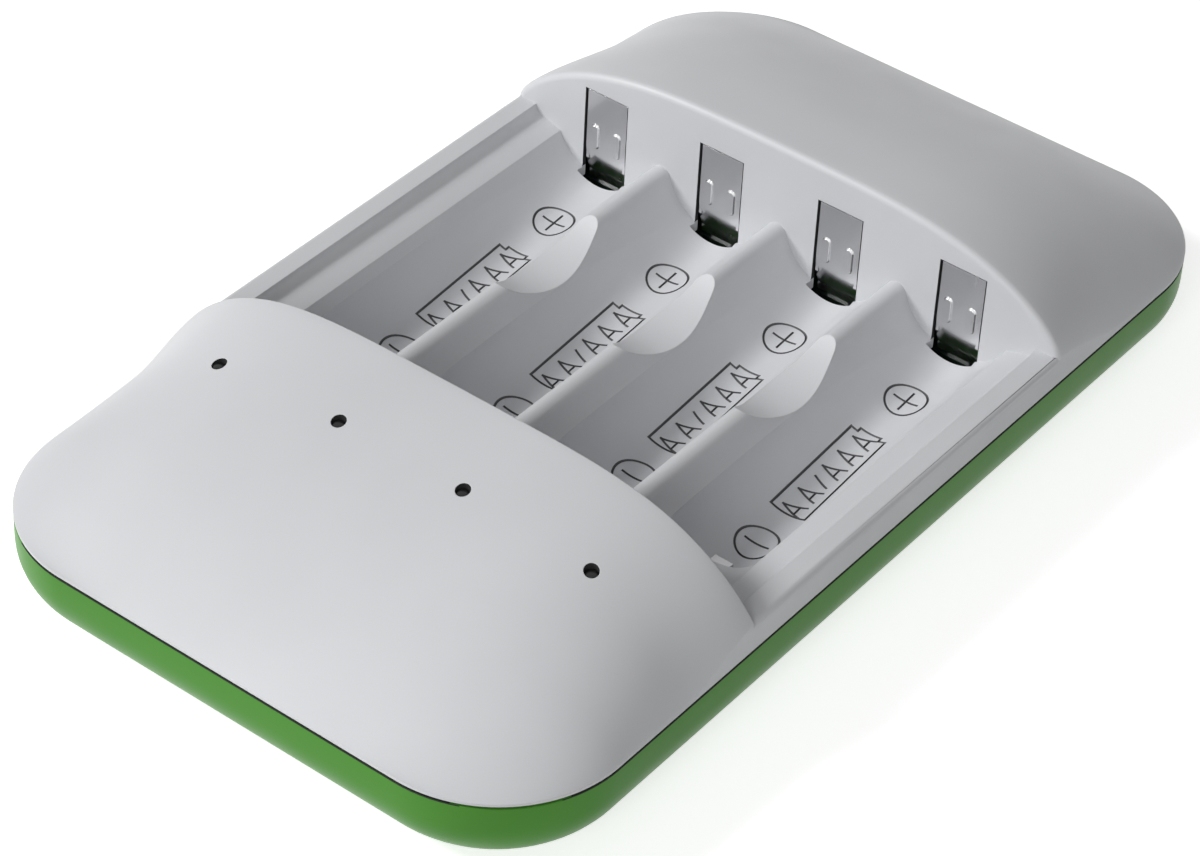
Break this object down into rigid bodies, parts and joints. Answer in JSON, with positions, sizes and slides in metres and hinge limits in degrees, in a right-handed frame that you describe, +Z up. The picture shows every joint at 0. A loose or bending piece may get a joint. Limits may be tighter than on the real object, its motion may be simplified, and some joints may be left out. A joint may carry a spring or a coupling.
{
  "type": "aa battery charger",
  "caption": "Flat battery charger for AA and AAA cells with open bays, sprung minus contacts, pillow-shaped hoods and a USB-C inlet.",
  "frame": {"origin": "centre of the footprint on the surface that it stands on", "axes": "+Z up, +Y towards the plus contacts and the power inlet, +X across the bays"},
  "size_m": [0.078, 0.1352, 0.0247],
  "materials": {
    "top_plastic": "light grey ABS with a fine satin texture",
    "bottom_plastic": "leaf green ABS, satin",
    "nickel": "nickel plated strip",
    "spring_steel": "plated spring wire",
    "board": "green solder resist",
    "cable": "grey flat cable",
    "steel": "drawn steel",
    "black_plastic": "black moulding compound",
    "ferrite": "dark ferrite",
    "aluminium": "bare aluminium cans",
    "led": "white body with a clear lens",
    "light_guide": "smoke grey clear plastic",
    "screw_steel": "blackened steel",
    "rubber": "dark rubber"
  },
  "bodies": {
    "housing": {"top_shell": "top_plastic", "bottom_shell": "bottom_plastic", "main_board": "board", "front_board": "board", "link_cable": "cable", "usb_shell": "steel", "usb_tongue": "black_plastic", "charge_chip": "black_plastic", "power_inductor": "ferrite", "capacitors": "aluminium", "transistors": "black_plastic", "screws": "screw_steel", "feet": "rubber", "plus_contact_1": "nickel", "plus_contact_2": "nickel", "plus_contact_3": "nickel", "plus_contact_4": "nickel", "minus_spring_1": "spring_steel", "minus_spring_2": "spring_steel", "minus_spring_3": "spring_steel", "minus_spring_4": "spring_steel", "led_1": "led", "led_2": "led", "led_3": "led", "led_4": "led", "light_guide_1": "light_guide", "light_guide_2": "light_guide", "light_guide_3": "light_guide", "light_guide_4": "light_guide"},
    "minus_slide_1": {"minus_contact_1": "nickel"},
    "minus_slide_2": {"minus_contact_2": "nickel"},
    "minus_slide_3": {"minus_contact_3": "nickel"},
    "minus_slide_4": {"minus_contact_4": "nickel"}
  },
  "joints": [
    {"name": "minus_1_travel", "type": "slide", "parent": "housing", "child": "minus_slide_1", "axis": [0, -1, 0], "range_m": [0, 0.0016], "stiffness_N_per_m": 300, "springref_m": -0.002, "deforming": ["minus_spring_1"]},
    {"name": "minus_2_travel", "type": "slide", "parent": "housing", "child": "minus_slide_2", "axis": [0, -1, 0], "range_m": [0, 0.0016], "stiffness_N_per_m": 300, "springref_m": -0.002, "deforming": ["minus_spring_2"]},
    {"name": "minus_3_travel", "type": "slide", "parent": "housing", "child": "minus_slide_3", "axis": [0, -1, 0], "range_m": [0, 0.0016], "stiffness_N_per_m": 300, "springref_m": -0.002, "deforming": ["minus_spring_3"]},
    {"name": "minus_4_travel", "type": "slide", "parent": "housing", "child": "minus_slide_4", "axis": [0, -1, 0], "range_m": [0, 0.0016], "stiffness_N_per_m": 300, "springref_m": -0.002, "deforming": ["minus_spring_4"]}
  ]
}
